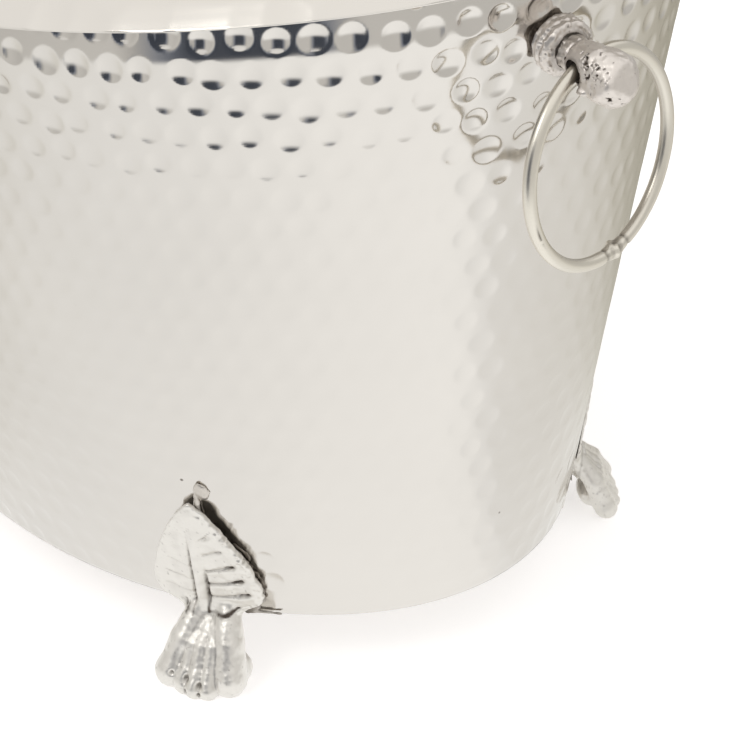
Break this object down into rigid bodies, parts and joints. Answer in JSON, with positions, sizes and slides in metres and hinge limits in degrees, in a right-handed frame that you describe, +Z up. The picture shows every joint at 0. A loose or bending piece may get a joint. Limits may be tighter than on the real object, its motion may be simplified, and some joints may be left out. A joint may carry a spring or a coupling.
{
  "type": "footed oval champagne tub",
  "caption": "Wide oval hammered metal tub for chilling bottles, with a rolled rim, leaf-topped claw feet and a swinging ring handle on a knob at each end.",
  "frame": {"origin": "on the floor under the middle of the tub", "axes": "+X along the tub towards the right-hand handle, +Y towards the back, +Z up"},
  "size_m": [0.5458, 0.331, 0.2867],
  "materials": {
    "plated_sheet": "nickel plated, hand hammered, polished",
    "plated_rim": "nickel plated, broadly hammered, polished",
    "cast_metal": "nickel plated sand casting, pitted",
    "ring_wire": "nickel plated steel wire, polished, light tarnish",
    "fastener": "plain",
    "solder": "dull, tarnished brazing metal"
  },
  "bodies": {
    "tub": {"tub_wall": "plated_sheet", "tub_floor": "plated_sheet", "rolled_rim": "plated_rim", "right_boss": "cast_metal", "right_eye_knob": "cast_metal", "right_washer": "fastener", "right_nut": "fastener", "left_boss": "cast_metal", "left_eye_knob": "cast_metal", "left_washer": "fastener", "left_nut": "fastener", "back_right_foot": "cast_metal", "back_right_solder": "solder", "front_left_foot": "cast_metal", "front_left_solder": "solder", "front_right_foot": "cast_metal", "front_right_solder": "solder", "back_left_foot": "cast_metal", "back_left_solder": "solder"},
    "right_ring": {"right_ring": "ring_wire"},
    "left_ring": {"left_ring": "ring_wire"}
  },
  "joints": [
    {"name": "right_ring_swing", "type": "hinge", "parent": "tub", "child": "right_ring", "pos_m": [0.2523, 0.0005, 0.2504], "axis": [0.246, -0.951, -0.1874], "range_deg": [-20, 150]},
    {"name": "left_ring_swing", "type": "hinge", "parent": "tub", "child": "left_ring", "pos_m": [-0.2523, -0.0005, 0.2504], "axis": [-0.246, 0.951, -0.1874], "range_deg": [-20, 150]}
  ]
}
